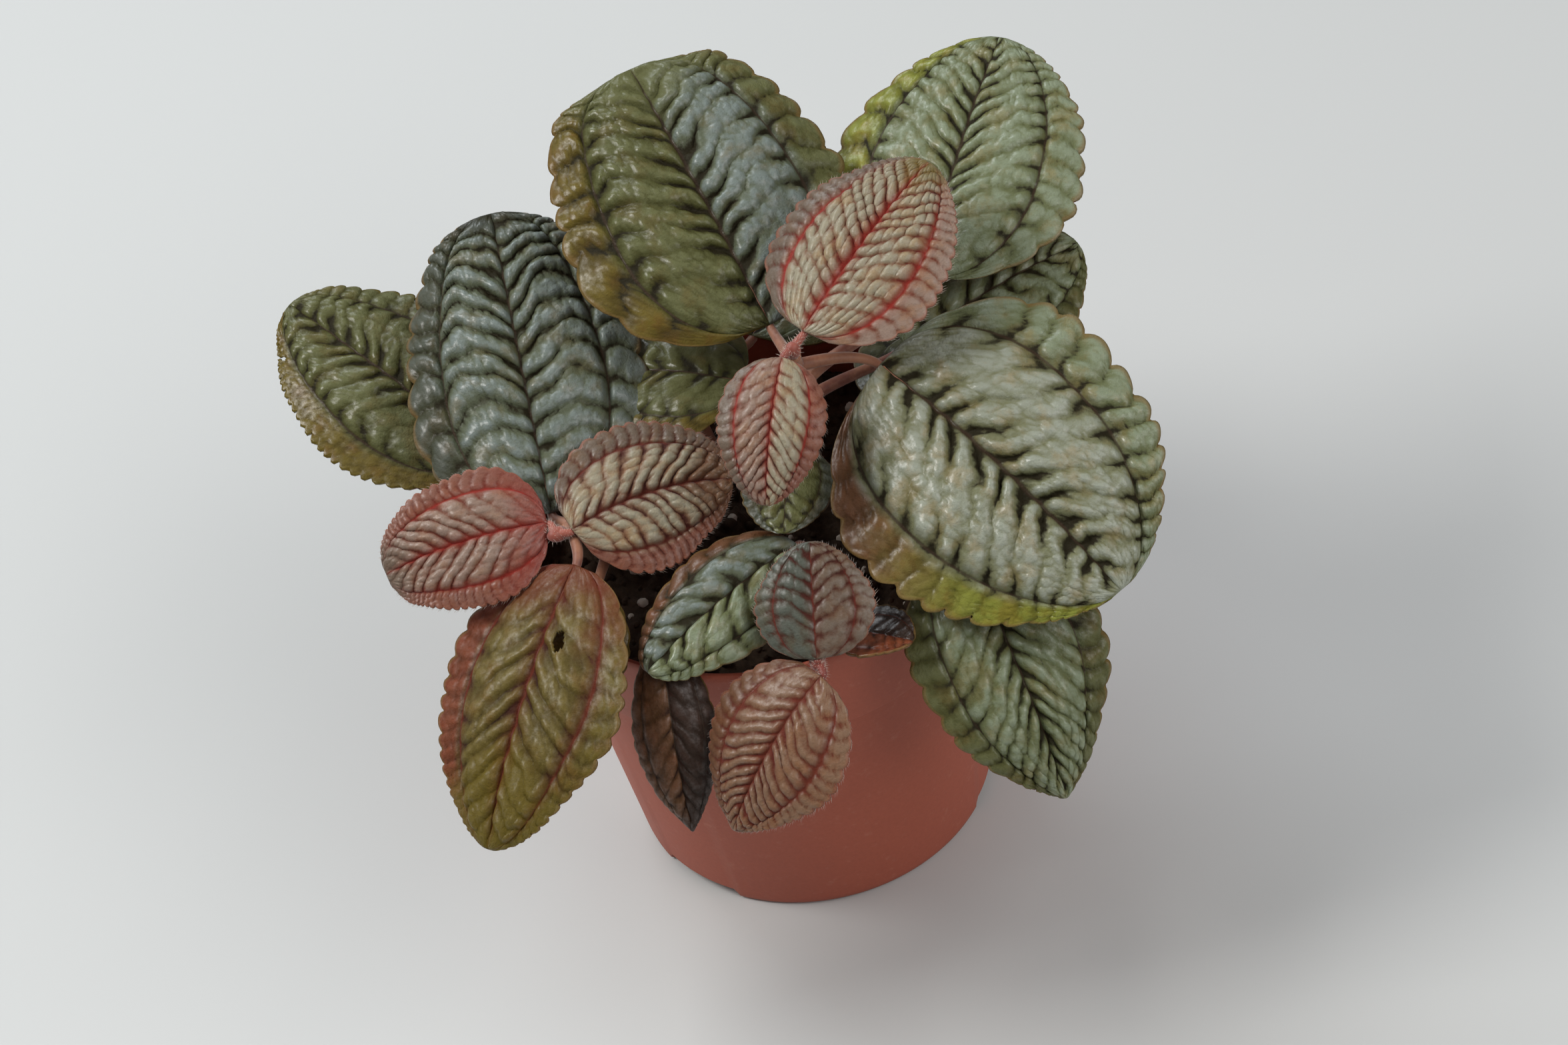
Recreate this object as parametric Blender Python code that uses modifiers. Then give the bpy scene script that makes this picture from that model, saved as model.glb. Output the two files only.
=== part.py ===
"""Potted pilea: a silver-banded, quilt-leaved creeping plant in a small terracotta-coloured pot.

Metres, +Z up. The origin is the middle of the pot's flat base, and the plant is
seen from its front along +Y, as it is looked at on a bench. Lengths in the
tables are in millimetres and angles in degrees.
"""

from collections import namedtuple
from math import cos, pi, radians, sin, sqrt

import bmesh
import bpy
from mathutils import Vector, noise

MM = 0.001

# Pot: an 8 cm nursery pot, thin-walled, with a collar under its rim.
BASE_RADIUS = 31.0
WALL_TOP_RADIUS = 37.1
RIM_RADIUS = 40.3
POT_HEIGHT = 70.0
COLLAR_DEPTH = 19.0
COLLAR_STEP = 1.3
WALL = 1.0
FLOOR = 1.2
POT_SIDES = 48

# Drainage arches moulded up into the edge of the base.
ARCH_COUNT = 3
ARCH_FIRST = 220.0
ARCH_WIDTH = 14.0
ARCH_HEIGHT = 2.3
ARCH_REACH = 7.0
DRAIN_RADIUS = 1.8

# Peat, with a few crumbs spread by the golden angle.
SOIL_TOP = 62.0
SOIL_ROUGHNESS = 1.1
CRUMB_COUNT = 10
CRUMB_RADIUS = 1.7
CRUMB_NEAR = 13.0
CRUMB_FAR = 33.0
GOLDEN_ANGLE = 137.5
GOLDEN_SHARE = 0.618
SEED = 11.0

CLEAR = 0.3

# Stems and petioles. A stem stands upright in the peat up to its sprout, and a
# petiole rises a little from its stem and ends inside the blade.
SPROUT = SOIL_TOP + 2.5
STEM_FOOT = 55.0
STEM_RADIUS = 1.7
STEM_TAPER = 0.035
PETIOLE_RADIUS = 0.95
PETIOLE_RISE = 0.35
PETIOLE_REACH = 3.0
PETIOLE_SINK = 0.35
TIP_STUB = 3.0

# Blades: three main ribs, cross veins in chevrons, a crenate edge. WIDEST under 1
# puts the widest place before the middle, and BLUNT under 1 rounds both ends.
BLADE = 0.8
WIDEST = 0.82
BLUNT = 0.52
RIB = 2.0 / 3.0
CHEVRON = 0.24
TOOTH = 0.045
QUILT = 0.026
BAND = 6.0
ROWS_ACROSS = 6

Stem = namedtuple("Stem", "root bend tip")
Leaf = namedtuple("Leaf", "foot at heading rise droop length width tilt cup swing")

# root is where the stem starts to lean, just over the soil; bend and tip shape it.
STEMS = {
    "left": Stem((-14, -4, SPROUT), (-20, -6, 80), (-31.5, -13.5, 85.5)),
    "top": Stem((8, 3, SPROUT), (11, -3, 95), (11.5, -8.5, 108.5)),
    "front": Stem((3, -16, SPROUT), (4, -34, 74), (4, -44, 75.5)),
    "right": Stem((20, -12, SPROUT), (22, -16, 76), (31, -24, 82)),
    "back": Stem((-5, 17, SPROUT), (-8, 20, 78), (-8, 30, 85)),
}

# foot: how far up the stem the petiole leaves it, 0 to 1. at: where the blade
# starts. heading: 0 is +X, 90 is +Y. rise: the angle at which it leaves, droop:
# how much it bends down to its tip, swing: how much it turns aside. tilt: right
# side up, cup: edges up.
LEAVES = {
    "left": [
        Leaf(0.93, (-31, -20, 84), 234, -15, 35, 49, 34, -5, -15, 0),
        Leaf(0.93, (-33, -8, 85), 89, 30, 18, 56, 41, 0, -25, 0),
        Leaf(0.55, (-42, 13, 80), 128, 22, 15, 46, 34, 10, -15, 0),
        Leaf(0.55, (-29, -20, 77), -115, -10, 45, 24, 16, 0, -15, 0),
    ],
    "top": [
        Leaf(0.85, (25, -8, 101), -55, -10, 25, 55, 54, -20, -15, 0),
        Leaf(0.85, (9, 4, 104), 105, 28, 15, 54, 50, 0, -20, 0),
        Leaf(0.62, (35, 8, 103), 61, 20, 15, 48, 44, 0, -15, 0),
        Leaf(0.50, (30, 2, 94), 20, 12, 15, 34, 32, -10, -15, 0),
        Leaf(0.50, (3, 4, 90), 165, 0, 25, 24, 24, 10, -15, 0),
        Leaf(0.45, (8, -6, 85), -105, 5, 20, 18, 16, 0, -20, 0),
    ],
    "front": [
        Leaf(0.40, (5, -23, 80), -150, 5, 25, 33, 20, 20, -30, 0),
        Leaf(0.70, (10, -38, 73), -40, 18, 10, 13, 12, 0, 20, 0),
        Leaf(0.40, (-20, -34, 75), -97, -22, 68, 33, 12, 0, -45, 0),
    ],
    "right": [
        Leaf(0.95, (31, -30, 80), -76, -25, 45, 47, 33, 0, -20, 0),
        Leaf(0.60, (35, -12, 80), 15, 0, 30, 28, 26, 0, -15, 0),
        Leaf(0.45, (27, 2, 80), 55, 0, 35, 34, 28, 0, -15, 0),
    ],
    "back": [
        Leaf(0.75, (-6, 37, 83), 95, 5, 40, 44, 38, 0, -15, 0),
        Leaf(0.60, (-16, 24, 80), 150, 0, 40, 44, 36, 0, -15, 0),
        Leaf(0.60, (6, 28, 79), 50, 5, 45, 44, 36, 0, -15, 0),
    ],
}

# The young pairs at the stems' tips, which are still red.
YOUNG = {
    "left": [
        Leaf(1.0, (-34, -12, 87), 180, 8, 30, 28, 23, 30, -5, 0),
        Leaf(1.0, (-30, -15, 87), 25, 5, 15, 28, 26, -28, -15, -32),
    ],
    "top": [
        Leaf(1.0, (14, -7, 111.5), 38, 28, 20, 35, 32, -5, -20, 0),
        Leaf(1.0, (9.5, -11.5, 111), -112, -5, 50, 25, 18, 10, -25, 0),
    ],
    "front": [
        Leaf(1.0, (4, -46.5, 77.5), 78, 42, 10, 19, 20, 0, -25, 0),
        Leaf(1.0, (4, -49, 76), -152, -25, 35, 30, 26, 12, -15, 0),
    ],
    "back": [
        Leaf(1.0, (-9, 30, 88), 190, 30, 20, 15, 12, 0, -10, 0),
        Leaf(1.0, (-7, 32, 88), 15, 30, 20, 15, 12, 0, -10, 0),
    ],
}

COLOURS = {
    "pot": ((0.33, 0.11, 0.075), 0.62),
    "soil": ((0.030, 0.020, 0.014), 0.95),
    "green": ((0.12, 0.15, 0.09), 0.42),
    "young": ((0.36, 0.12, 0.095), 0.48),
}


def start_empty():
    for old in list(bpy.data.objects):
        bpy.data.objects.remove(old, do_unlink=True)


def new_collection(name):
    collection = bpy.data.collections.new(name)
    bpy.context.scene.collection.children.link(collection)
    return collection


def material(name):
    colour, roughness = COLOURS[name]
    made = bpy.data.materials.new(name)
    made.use_nodes = True
    shader = made.node_tree.nodes["Principled BSDF"]
    shader.inputs["Base Color"].default_value = (*colour, 1.0)
    shader.inputs["Roughness"].default_value = roughness
    shader.inputs["Metallic"].default_value = 0.0
    return made


def add_object(name, mesh, collection, finish=None):
    made = bpy.data.objects.new(name, mesh)
    collection.objects.link(made)
    if finish:
        mesh.materials.append(finish)
    return made


def mesh_of(bm, name):
    mesh = bpy.data.meshes.new(name)
    bm.to_mesh(mesh)
    bm.free()
    return mesh


def bake(source, collection, finish=None):
    """Replace an object by a plain mesh of what its modifiers or bevel make."""
    shown = source.evaluated_get(bpy.context.evaluated_depsgraph_get())
    mesh = bpy.data.meshes.new_from_object(shown)
    mesh.transform(source.matrix_world)
    bm = bmesh.new()
    bm.from_mesh(mesh)
    bmesh.ops.remove_doubles(bm, verts=bm.verts, dist=0.01 * MM)
    bm.to_mesh(mesh)
    bm.free()
    name = source.name
    bpy.data.objects.remove(source, do_unlink=True)
    mesh.materials.clear()
    return add_object(name, mesh, collection, finish)


def boolean(target, operand, operation):
    step = target.modifiers.new(operation.lower(), "BOOLEAN")
    step.operation = operation
    step.solver = "EXACT"
    if isinstance(operand, bpy.types.Collection):
        step.operand_type = "COLLECTION"
        step.collection = operand
    else:
        step.object = operand


def drop(collection):
    for used in list(collection.objects):
        bpy.data.objects.remove(used, do_unlink=True)
    bpy.data.collections.remove(collection)


def turned(name, profile, steps, collection):
    """A profile of (radius, height) in millimetres, spun about +Z."""
    bm = bmesh.new()
    points = [bm.verts.new((r * MM, 0, z * MM)) for r, z in profile]
    for a, b in zip(points, points[1:]):
        bm.edges.new((a, b))
    made = add_object(name, mesh_of(bm, name), collection)
    screw = made.modifiers.new("turn", "SCREW")
    screw.steps = steps
    screw.render_steps = steps
    screw.use_merge_vertices = True
    screw.merge_threshold = 0.01 * MM
    return made


def radial_block(name, near, far, width, low, high, turn, collection):
    """A square block between two distances from the pot's axis and two heights."""
    bm = bmesh.new()
    bmesh.ops.create_cube(bm, size=MM)
    bmesh.ops.scale(bm, vec=(far - near, width, high - low), verts=bm.verts)
    made = add_object(name, mesh_of(bm, name), collection)
    middle = (near + far) / 2
    made.location = Vector((middle * cos(turn), middle * sin(turn), (low + high) / 2)) * MM
    made.rotation_euler.z = turn
    return made


def post(name, radius, low, high, place, collection, sides=16):
    """An upright round peg between two heights."""
    bm = bmesh.new()
    bmesh.ops.create_cone(bm, cap_ends=True, segments=sides, radius1=radius * MM,
                          radius2=radius * MM, depth=(high - low) * MM)
    made = add_object(name, mesh_of(bm, name), collection)
    made.location = Vector((place[0], place[1], (low + high) / 2)) * MM
    return made


def hide_as_cutter(made):
    made.hide_render = True
    made.display_type = "WIRE"


def build_pot(parts, cutters):
    """A tapered shell with a stepped collar and three drainage arches in its base."""
    ledge = POT_HEIGHT - COLLAR_DEPTH
    collar_foot = WALL_TOP_RADIUS + COLLAR_STEP
    pot = turned("pot", [
        (0, FLOOR),
        (BASE_RADIUS - WALL - 1.0, FLOOR),
        (BASE_RADIUS - WALL, FLOOR + 1.2),
        (WALL_TOP_RADIUS - WALL, ledge - 0.4),
        (collar_foot - WALL, ledge + 1.2),
        (RIM_RADIUS - WALL - 0.3, POT_HEIGHT - 2.0),
        (RIM_RADIUS - WALL, POT_HEIGHT - 0.3),
        (RIM_RADIUS - WALL + 0.3, POT_HEIGHT),
        (RIM_RADIUS - 0.3, POT_HEIGHT),
        (RIM_RADIUS, POT_HEIGHT - 0.4),
        (RIM_RADIUS - 0.1, POT_HEIGHT - 2.0),
        (collar_foot, ledge + 0.8),
        (collar_foot - 0.3, ledge + 0.2),
        (WALL_TOP_RADIUS, ledge),
        (BASE_RADIUS + 0.1, 1.0),
        (BASE_RADIUS - 0.6, 0),
        (0, 0),
    ], POT_SIDES, parts)
    pot = bake(pot, parts)
    shelf = FLOOR + ARCH_HEIGHT
    inner = BASE_RADIUS - ARCH_REACH
    past = BASE_RADIUS + 2
    core = post("arch_core", BASE_RADIUS - WALL / 2, -1, shelf + 3, (0, 0), cutters, POT_SIDES)
    hide_as_cutter(core)
    for number in range(ARCH_COUNT):
        turn = radians(ARCH_FIRST + 360 / ARCH_COUNT * number)
        raised = radial_block(f"arch_shelf_{number}", inner, past, ARCH_WIDTH + 2 * WALL,
                              FLOOR / 2, shelf, turn, cutters)
        boolean(raised, core, "INTERSECT")
        boolean(pot, raised, "UNION")
        hollow = radial_block(f"arch_hollow_{number}", inner + WALL, past, ARCH_WIDTH,
                              -1, ARCH_HEIGHT, turn, cutters)
        boolean(pot, hollow, "DIFFERENCE")
        away = inner + WALL + 1.5 * DRAIN_RADIUS
        drain = post(f"drain_{number}", DRAIN_RADIUS, 1, shelf + 2,
                     (away * cos(turn), away * sin(turn)), cutters, 12)
        boolean(pot, drain, "DIFFERENCE")
        for cutter in (raised, hollow, drain):
            hide_as_cutter(cutter)
    pot.data.materials.append(material("pot"))
    pot.data.shade_smooth()
    pot.data.set_sharp_from_angle(angle=radians(35))
    return pot


def inner_radius(z):
    """Inside radius of the pot's wall at a height."""
    ledge = POT_HEIGHT - COLLAR_DEPTH
    if z < ledge:
        return BASE_RADIUS - WALL + (WALL_TOP_RADIUS - BASE_RADIUS) * z / ledge
    foot = WALL_TOP_RADIUS + COLLAR_STEP
    return foot - WALL + (RIM_RADIUS - 0.3 - foot) * (z - ledge - 1.2) / (COLLAR_DEPTH - 3.2)


def build_soil(parts, cutters):
    """Loose peat, a little lower than the rim, with a plain hole for each stem."""
    ledge = POT_HEIGHT - COLLAR_DEPTH
    low = FLOOR + ARCH_HEIGHT + CLEAR
    gap = CLEAR + 0.25
    top = inner_radius(SOIL_TOP) - gap
    rings = 7
    profile = [(top * ring / rings, SOIL_TOP) for ring in range(rings + 1)]
    profile += [
        (inner_radius(ledge + 1.4) - gap, ledge + 1.6),
        (WALL_TOP_RADIUS - WALL - gap, ledge - 0.6),
        (inner_radius(low) - gap - 0.2, low),
        (0, low),
    ]
    soil = bake(turned("soil", profile, 32, parts), parts)
    for vertex in soil.data.vertices:
        reach = sqrt(vertex.co.x ** 2 + vertex.co.y ** 2) / (top * MM)
        if vertex.co.z > (SOIL_TOP - 1) * MM and reach < 0.95:
            rough = noise.noise(vertex.co * 170 + Vector((SEED, 0, 0)))
            vertex.co.z += SOIL_ROUGHNESS * MM * rough
    crumbs = new_collection("crumbs")
    for number in range(CRUMB_COUNT):
        turn = radians(GOLDEN_ANGLE * number + 20)
        far = CRUMB_NEAR + (CRUMB_FAR - CRUMB_NEAR) * ((number * GOLDEN_SHARE) % 1)
        bm = bmesh.new()
        bmesh.ops.create_icosphere(bm, subdivisions=1, radius=CRUMB_RADIUS * MM)
        for vertex in bm.verts:
            vertex.co *= 1 + 0.35 * noise.noise(vertex.co * 900 + Vector((number * 3.0, SEED, 0)))
        crumb = add_object(f"crumb_{number}", mesh_of(bm, "crumb"), crumbs)
        crumb.location = Vector((far * cos(turn), far * sin(turn), SOIL_TOP + 0.2)) * MM
    boolean(soil, crumbs, "UNION")
    soil = bake(soil, parts, material("soil"))
    drop(crumbs)
    for name, stem in STEMS.items():
        hole = post(f"{name}_stem_hole", STEM_RADIUS + CLEAR + 0.1, STEM_FOOT - CLEAR, SOIL_TOP + 6,
                    stem.root, cutters)
        hide_as_cutter(hole)
        boolean(soil, hole, "DIFFERENCE")
    return soil


def along(stem, f):
    """Point on a stem, f from 0 at the soil to 1 at its tip."""
    a, b, c = (Vector(p) for p in stem)
    return a * (1 - f) ** 2 + b * 2 * f * (1 - f) + c * f ** 2


def tube(name, points, radii, collection, resolution):
    """A round stalk through points in millimetres, with closed ends."""
    curve = bpy.data.curves.new(name, "CURVE")
    curve.dimensions = "3D"
    curve.bevel_depth = MM
    curve.bevel_resolution = resolution
    curve.use_fill_caps = True
    spline = curve.splines.new("POLY")
    spline.points.add(len(points) - 1)
    for knot, place, radius in zip(spline.points, points, radii):
        knot.co = (*(Vector(place) * MM), 1)
        knot.radius = radius
    return bake(add_object(name, curve, collection), collection)


def half_width(s):
    """Outline of a blade: half width at s from its base to its tip, 1 at the widest."""
    return sin(pi * s ** WIDEST) ** BLUNT if 0 < s < 1 else 0.0


def midrib_direction(leaf, s):
    """Which way the midrib runs at s."""
    pitch = radians(leaf.rise - leaf.droop * s)
    turn = radians(leaf.heading + leaf.swing * s)
    return Vector((cos(pitch) * cos(turn), cos(pitch) * sin(turn), sin(pitch)))


def blade_frame(leaf, s):
    """Midrib point at s, with the directions along, to the right and up there."""
    centre = Vector(leaf.at)
    steps = 16
    for step in range(steps):
        centre += midrib_direction(leaf, s * (step + 0.5) / steps) * (leaf.length * s / steps)
    ahead = midrib_direction(leaf, s)
    turn = radians(leaf.heading + leaf.swing * s)
    right = Vector((sin(turn), -cos(turn), 0))
    up = right.cross(ahead)
    tilt = radians(leaf.tilt)
    return centre, ahead, right * cos(tilt) + up * sin(tilt), up * cos(tilt) - right * sin(tilt)


def blade_point(leaf, u, t, bands):
    """Point of the quilted blade. u runs from base to tip, t from left to right edge."""
    off = abs(t)
    s = u + CHEVRON * off * sin(pi * u)
    centre, _, right, up = blade_frame(leaf, s)
    wave = -cos(2 * pi * bands * u)
    width = leaf.width / 2 * half_width(s) * (1 + TOOTH * wave * off ** 6)
    bend = radians(leaf.cup)
    across = width * sin(bend * off) / bend
    lift = width * (1 - cos(bend * off)) / bend
    if off < RIB:
        field = sin(pi * off / RIB)
    else:
        field = 0.5 * (off - RIB) / (1 - RIB)
    crest = QUILT * leaf.length * field * (0.55 + 0.45 * wave) * sin(pi * u) ** 0.5
    return centre + right * (across if t > 0 else -across) + up * (lift + crest)


def build_blade(name, leaf, collection):
    """A crenate, quilted blade: a grid shaped by blade_point, then given its thickness."""
    bands = max(3, round(leaf.length / BAND))
    bm = bmesh.new()
    bmesh.ops.create_grid(bm, x_segments=2 * bands, y_segments=ROWS_ACROSS, size=0.5)
    bmesh.ops.triangulate(bm, faces=bm.faces)
    for vertex in bm.verts:
        u, t = vertex.co.x + 0.5, -2 * vertex.co.y
        vertex.co = blade_point(leaf, min(max(u, 0.0), 1.0), t, bands) * MM
    bmesh.ops.remove_doubles(bm, verts=bm.verts, dist=0.01 * MM)
    made = add_object(name, mesh_of(bm, name), collection)
    shell = made.modifiers.new("blade", "SOLIDIFY")
    shell.thickness = BLADE * MM
    shell.offset = 0
    return bake(made, collection)


def build_petiole(name, start, leaf, radius, collection):
    """The stalk of a leaf, from inside the stem to well under its blade."""
    base, ahead, _, up = blade_frame(leaf, 0.0)
    far = (base - start).length
    lead = (base - start).normalized() + Vector((0, 0, PETIOLE_RISE))
    points = []
    steps = 5
    for step in range(steps + 1):
        f = step / steps
        h00, h10 = 2 * f ** 3 - 3 * f ** 2 + 1, f ** 3 - 2 * f ** 2 + f
        h01, h11 = 3 * f ** 2 - 2 * f ** 3, f ** 3 - f ** 2
        points.append(start * h00 + lead * far * h10 + base * h01 + ahead * far * h11)
    inside, _, _, under = blade_frame(leaf, PETIOLE_REACH / leaf.length)
    points.append(inside - under * PETIOLE_SINK)
    return tube(name, points, [radius] * len(points), collection, 1)


def build_leafy_stem(side, parts):
    """One stem with its petioles and full-grown leaves, fused into one solid."""
    stem = STEMS[side]
    name = f"{side}_leafy_stem"
    foot = Vector((stem.root[0], stem.root[1], STEM_FOOT))
    shape = [foot] + [along(stem, f / 8) for f in range(9)]
    radii = [STEM_RADIUS] + [STEM_RADIUS * (1 - STEM_TAPER * f) for f in range(9)]
    grown = tube(name, shape, radii, parts, 2)
    leaves = new_collection(f"{name}_leaves")
    for number, leaf in enumerate(LEAVES[side]):
        start = along(stem, leaf.foot)
        build_petiole(f"{name}_petiole_{number}", start, leaf, PETIOLE_RADIUS, leaves)
        build_blade(f"{name}_blade_{number}", leaf, leaves)
    boolean(grown, leaves, "UNION")
    grown = bake(grown, parts, material("green"))
    drop(leaves)
    grown.data.shade_smooth()
    grown.data.set_sharp_from_angle(angle=radians(50))
    return grown


def build_young_tip(side, parts):
    """The red pair of unfolding leaves at a stem's tip, on the last bit of stem."""
    stem = STEMS[side]
    name = f"{side}_young_tip"
    tip = Vector(stem.tip)
    ahead = (tip - along(stem, 0.9)).normalized()
    start = tip + ahead * CLEAR
    shape = [start, start + ahead * TIP_STUB * 0.5, start + ahead * TIP_STUB]
    grown = tube(name, shape, [1.2, 1.3, 0.8], parts, 2)
    leaves = new_collection(f"{name}_leaves")
    for number, leaf in enumerate(YOUNG[side]):
        build_petiole(f"{name}_petiole_{number}", start + ahead * TIP_STUB * 0.5, leaf,
                      PETIOLE_RADIUS * 0.8, leaves)
        build_blade(f"{name}_blade_{number}", leaf, leaves)
    boolean(grown, leaves, "UNION")
    grown = bake(grown, parts, material("young"))
    drop(leaves)
    grown.data.shade_smooth()
    grown.data.set_sharp_from_angle(angle=radians(50))
    return grown


def main():
    start_empty()
    parts = new_collection("potted_pilea")
    cutters = new_collection("cutters")
    build_pot(parts, cutters)
    build_soil(parts, cutters)
    for side in STEMS:
        build_leafy_stem(side, parts)
    for side in YOUNG:
        build_young_tip(side, parts)


main()
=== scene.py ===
"""A potted pilea dressed for its picture: quilted silver-banded leaves, red young
tips, loose peat and a small terracotta-coloured nursery pot.

Metres, +Z up, origin in the middle of the pot's base. Plant tables are in
millimetres and degrees, as they are in the part's own source.
"""

from collections import namedtuple
from math import cos, exp, floor, hypot, pi, radians, sin, sqrt

import bmesh
import bpy
from mathutils import Matrix, Vector, noise


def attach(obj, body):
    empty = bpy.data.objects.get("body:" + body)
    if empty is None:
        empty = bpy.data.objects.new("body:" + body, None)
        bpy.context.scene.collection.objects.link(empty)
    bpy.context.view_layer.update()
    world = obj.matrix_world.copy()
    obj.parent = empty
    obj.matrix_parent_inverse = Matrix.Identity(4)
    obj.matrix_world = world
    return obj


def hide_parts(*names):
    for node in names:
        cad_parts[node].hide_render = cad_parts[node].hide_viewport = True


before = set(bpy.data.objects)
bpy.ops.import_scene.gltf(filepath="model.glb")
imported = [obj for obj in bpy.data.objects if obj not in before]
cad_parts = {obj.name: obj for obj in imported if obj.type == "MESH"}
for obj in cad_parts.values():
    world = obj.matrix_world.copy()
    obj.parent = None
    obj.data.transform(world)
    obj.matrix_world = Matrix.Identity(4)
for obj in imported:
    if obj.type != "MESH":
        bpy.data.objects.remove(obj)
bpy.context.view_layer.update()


# The plant stands on a plain pale bench near a window. The light comes softly
# from the left, and somebody who stands at the bench looks down at the plant.
MM = 0.001


class Wire:
    """An output of a material's nodes, so that shader maths reads as arithmetic."""

    def __init__(self, finish, socket):
        self.finish, self.socket = finish, socket

    def maths(self, operation, *values):
        sockets = dict(enumerate(values))
        return self.finish.node("Math", sockets, operation=operation)

    def __add__(self, other):
        return self.maths("ADD", self, other)

    __radd__ = __add__

    def __sub__(self, other):
        return self.maths("SUBTRACT", self, other)

    def __rsub__(self, other):
        return self.maths("SUBTRACT", other, self)

    def __mul__(self, other):
        return self.maths("MULTIPLY", self, other)

    __rmul__ = __mul__

    def __abs__(self):
        return self.maths("ABSOLUTE", self)


class Finish:
    """A material under construction. Constants go straight onto the shader's sockets."""

    def __init__(self, name, constants):
        self.material = bpy.data.materials.new(name)
        self.material.use_nodes = True
        self.tree = self.material.node_tree
        self.shader = self.tree.nodes["Principled BSDF"]
        for socket, value in constants.items():
            self.shader.inputs[socket].default_value = value

    def node(self, kind, sockets, output=0, **settings):
        """Any node: its settings are set first, then the values or links of its sockets."""
        made = self.tree.nodes.new("ShaderNode" + kind)
        for setting, value in settings.items():
            setattr(made, setting, value)
        for place, value in sockets.items():
            if isinstance(value, Wire):
                self.tree.links.new(value.socket, made.inputs[place])
            else:
                made.inputs[place].default_value = value
        return Wire(self, made.outputs[output])

    def place(self):
        """Where a point of the object lies, in the object's own coordinates."""
        return self.node("TexCoord", {}, output="Object")

    def speckle(self, where, scale, detail=3.0, rough=0.55):
        """Noise from 0 to 1, so many spots to the metre."""
        sockets = {"Vector": where, "Scale": scale, "Detail": detail, "Roughness": rough}
        return self.node("TexNoise", sockets)

    def rise(self, value, low, high):
        """0 below low, 1 above high, and smooth between them."""
        return self.node("MapRange", {0: value, 1: low, 2: high, 3: 0.0, 4: 1.0},
                         interpolation_type="SMOOTHSTEP")

    def mix(self, share, first, second, how="MIX"):
        return self.node("Mix", {0: share, 6: first, 7: second}, output=2,
                         data_type="RGBA", blend_type=how)

    def wear(self, **wires):
        """Feed the shader's varying sockets, Base_Color for Base Color and so on."""
        for name, wire in wires.items():
            self.tree.links.new(wire.socket, self.shader.inputs[name.replace("_", " ")])
        return self.material

    def bumped(self, height, strength, distance):
        return self.node("Bump", {"Height": height, "Strength": strength, "Distance": distance})


def srgb(red, green, blue):
    """A screen colour, 0 to 255, as the linear colour a socket takes."""
    shares = (red, green, blue)
    return tuple(((c / 255 + 0.055) / 1.055) ** 2.4 if c > 10 else c / 3294 for c in shares) + (1.0,)


def show(name, mesh, finishes):
    """Put a mesh into the scene, in its finishes."""
    made = bpy.data.objects.new(name, mesh)
    bpy.context.scene.collection.objects.link(made)
    for finish in finishes:
        mesh.materials.append(finish)
    return made


def mesh_of(bm, name):
    """Turn a bmesh into a smooth mesh and free it."""
    for face in bm.faces:
        face.smooth = True
    mesh = bpy.data.meshes.new(name)
    bm.to_mesh(mesh)
    bm.free()
    return mesh


BENCH_REACH = 4.0

bench = bmesh.new()
bmesh.ops.create_grid(bench, x_segments=1, y_segments=1, size=BENCH_REACH)
bench_finish = Finish("pale_bench", {"Roughness": 0.55})
where = bench_finish.place()
cloudy = bench_finish.speckle(where, 3.0, 2.0)
bench_colour = bench_finish.mix(cloudy, srgb(190, 192, 192), srgb(197, 199, 198))
bench_top = show("bench", mesh_of(bench, "bench"), [bench_finish.wear(Base_Color=bench_colour)])

room = bpy.data.worlds.new("room")
bpy.context.scene.world = room
room.use_nodes = True
room.node_tree.nodes["Background"].inputs["Color"].default_value = (0.94, 0.97, 1.0, 1.0)
room.node_tree.nodes["Background"].inputs["Strength"].default_value = 0.21
bpy.context.scene.view_settings.view_transform = "Standard"

# Each lamp has a place and a size in metres, a power in watts and a colour.
LIT_PLACE = Vector((0, 0, 0.07))
for name, place, size, energy, colour in (
    ("window", (-0.66, 0.08, 0.90), 0.46, 8.0, (1.0, 0.98, 0.95)),
    ("far_window", (-0.30, 0.82, 0.84), 0.60, 5.4, (0.90, 0.96, 1.0)),
    ("room_glow", (0.62, -0.45, 0.75), 0.90, 6.6, (1.0, 0.97, 0.95)),
):
    lamp = bpy.data.lights.new(name, "AREA")
    lamp.size, lamp.energy, lamp.color = size, energy, colour
    light = bpy.data.objects.new(name, lamp)
    light.location = place
    light.rotation_euler = (LIT_PLACE - Vector(place)).to_track_quat("-Z", "Y").to_euler()
    bpy.context.scene.collection.objects.link(light)

EYE = Vector((0.0, -0.723, 0.809))
LOOKED_AT = Vector((0.004, 0.0, 0.062))
LEAN = radians(12.9)
FOCAL_LENGTH = 142.0
lens = bpy.data.cameras.new("view")
lens.lens, lens.clip_start = FOCAL_LENGTH, 0.05
camera = bpy.data.objects.new("view", lens)
towards = (LOOKED_AT - EYE).to_track_quat("-Z", "Y").to_matrix().to_4x4()
camera.matrix_world = Matrix.Translation(EYE) @ towards @ Matrix.Rotation(-LEAN, 4, "Z")
bpy.context.scene.collection.objects.link(camera)
bpy.context.scene.camera = camera


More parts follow.
